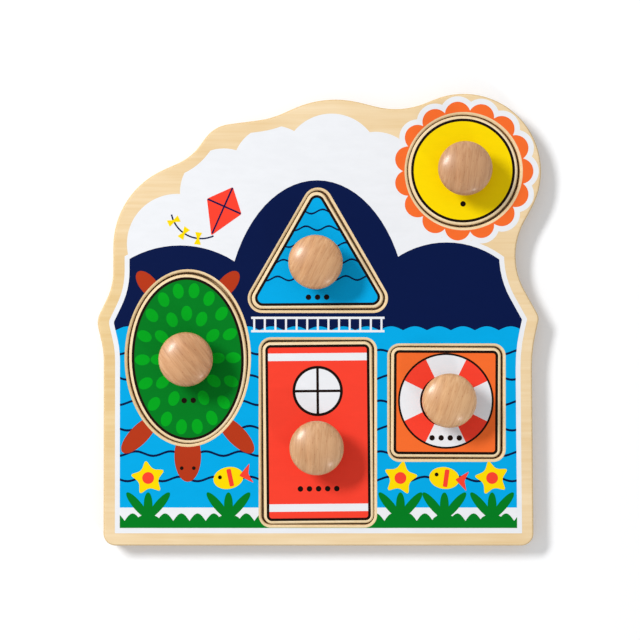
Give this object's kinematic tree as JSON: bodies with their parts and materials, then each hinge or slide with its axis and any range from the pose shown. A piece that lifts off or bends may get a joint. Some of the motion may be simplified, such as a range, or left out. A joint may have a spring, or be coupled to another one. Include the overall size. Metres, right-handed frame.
{
  "type": "peg puzzle",
  "caption": "Flat wooden board with shaped cut-outs, each filled by a loose piece of the same shape that lifts out by a large turned knob.",
  "frame": {"origin": "centre of the board's outline box, on the surface that the board lies on", "axes": "+X right across the picture, +Y up the picture, +Z out of the board's printed face"},
  "size_m": [0.2928, 0.2985, 0.034],
  "materials": {
    "backing_plywood": "plain sanded birch plywood",
    "board_plywood": "sanded basswood plywood with a printed face",
    "yellow_wood": "printed face, bare sanded edges",
    "blue_wood": "printed face, bare sanded edges",
    "green_wood": "printed face, bare sanded edges",
    "red_wood": "printed face, bare sanded edges",
    "orange_wood": "printed face, bare sanded edges",
    "varnished_beech": "turned beech under clear gloss varnish",
    "zinc_steel": "bright zinc plating"
  },
  "bodies": {
    "board": {"back_board": "backing_plywood", "front_board": "board_plywood"},
    "circle": {"circle_piece": "yellow_wood", "circle_knob": "varnished_beech", "circle_screw": "zinc_steel"},
    "triangle": {"triangle_piece": "blue_wood", "triangle_knob": "varnished_beech", "triangle_screw": "zinc_steel"},
    "oval": {"oval_piece": "green_wood", "oval_knob": "varnished_beech", "oval_screw": "zinc_steel"},
    "rectangle": {"rectangle_piece": "red_wood", "rectangle_knob": "varnished_beech", "rectangle_screw": "zinc_steel"},
    "square": {"square_piece": "orange_wood", "square_knob": "varnished_beech", "square_screw": "zinc_steel"}
  },
  "joints": [
    {"name": "circle_lift", "type": "slide", "parent": "board", "child": "circle", "axis": [0, 0, 1], "range_m": [0, 0.04]},
    {"name": "triangle_lift", "type": "slide", "parent": "board", "child": "triangle", "axis": [0, 0, 1], "range_m": [0, 0.04]},
    {"name": "oval_lift", "type": "slide", "parent": "board", "child": "oval", "axis": [0, 0, 1], "range_m": [0, 0.04]},
    {"name": "rectangle_lift", "type": "slide", "parent": "board", "child": "rectangle", "axis": [0, 0, 1], "range_m": [0, 0.04]},
    {"name": "square_lift", "type": "slide", "parent": "board", "child": "square", "axis": [0, 0, 1], "range_m": [0, 0.04]}
  ]
}
